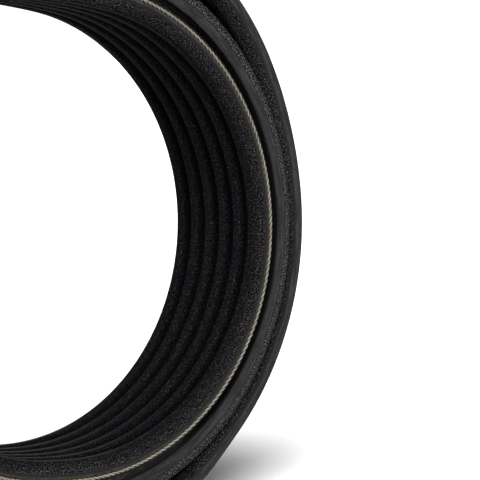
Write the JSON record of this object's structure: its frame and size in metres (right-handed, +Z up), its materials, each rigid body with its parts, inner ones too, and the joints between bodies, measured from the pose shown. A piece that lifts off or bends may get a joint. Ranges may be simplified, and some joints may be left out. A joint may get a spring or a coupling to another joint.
{
  "type": "serpentine belt",
  "caption": "Multi-ribbed rubber serpentine belt folded into a standing layered coil, with a bare tension cord along one edge.",
  "frame": {"origin": "bottom centre of the bounding box, on the floor below the middle of the coil", "axes": "+Z up; the coil's axis lies along Y, with the edge that shows the bare cord at -Y; +X to the right when looking along +Y, towards the side opposite the curled fold"},
  "size_m": [0.1024, 0.0242, 0.1044],
  "materials": {
    "belt_rubber": "matt black fibre-filled rubber with ground ribs",
    "cord_polyester": "twisted polyester cord, cream, matt"
  },
  "bodies": {
    "root": {"belt_body": "belt_rubber", "tension_cord": "cord_polyester"}
  },
  "joints": []
}
